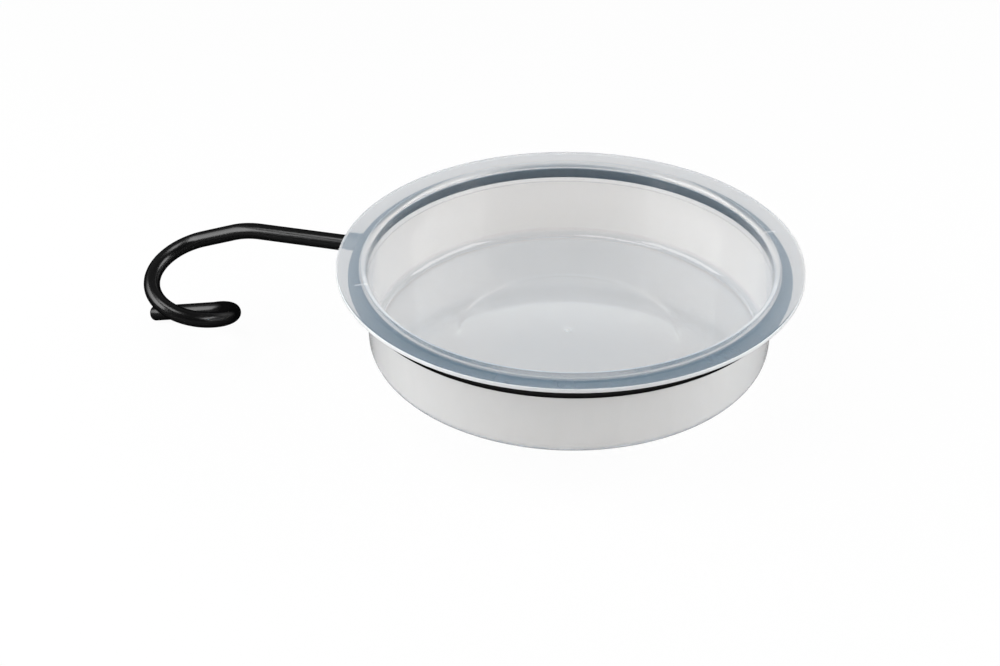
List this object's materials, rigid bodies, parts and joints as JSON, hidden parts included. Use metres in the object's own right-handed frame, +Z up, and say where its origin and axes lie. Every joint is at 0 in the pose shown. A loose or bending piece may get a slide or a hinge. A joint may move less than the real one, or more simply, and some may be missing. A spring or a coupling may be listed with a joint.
{
  "type": "bird feeder water tray",
  "caption": "Round translucent water dish that lifts out of a black wire ring, with a wire arm that twists onto a feeder pole.",
  "frame": {"origin": "on the axis of the feeder pole that the hook winds round, level with the middle of the straight arm and of the ring's wire", "axes": "+Z up along the pole, +X from the pole towards the dish, parallel to the straight arm"},
  "size_m": [0.288, 0.1876, 0.0616],
  "materials": {
    "milky_polypropylene": "natural milky translucent polypropylene, smooth satin moulding",
    "black_powder_coat": "semi-gloss black powder coat on steel wire",
    "coated_weld": "black powder coat over weld metal"
  },
  "bodies": {
    "holder": {"support_ring": "black_powder_coat", "ring_seam_weld": "coated_weld", "hook_arm": "black_powder_coat", "arm_weld": "coated_weld"},
    "dish": {"water_dish": "milky_polypropylene"}
  },
  "joints": [
    {"name": "dish_lift", "type": "slide", "parent": "holder", "child": "dish", "axis": [0, 0, 1], "range_m": [0, 0.06]}
  ]
}
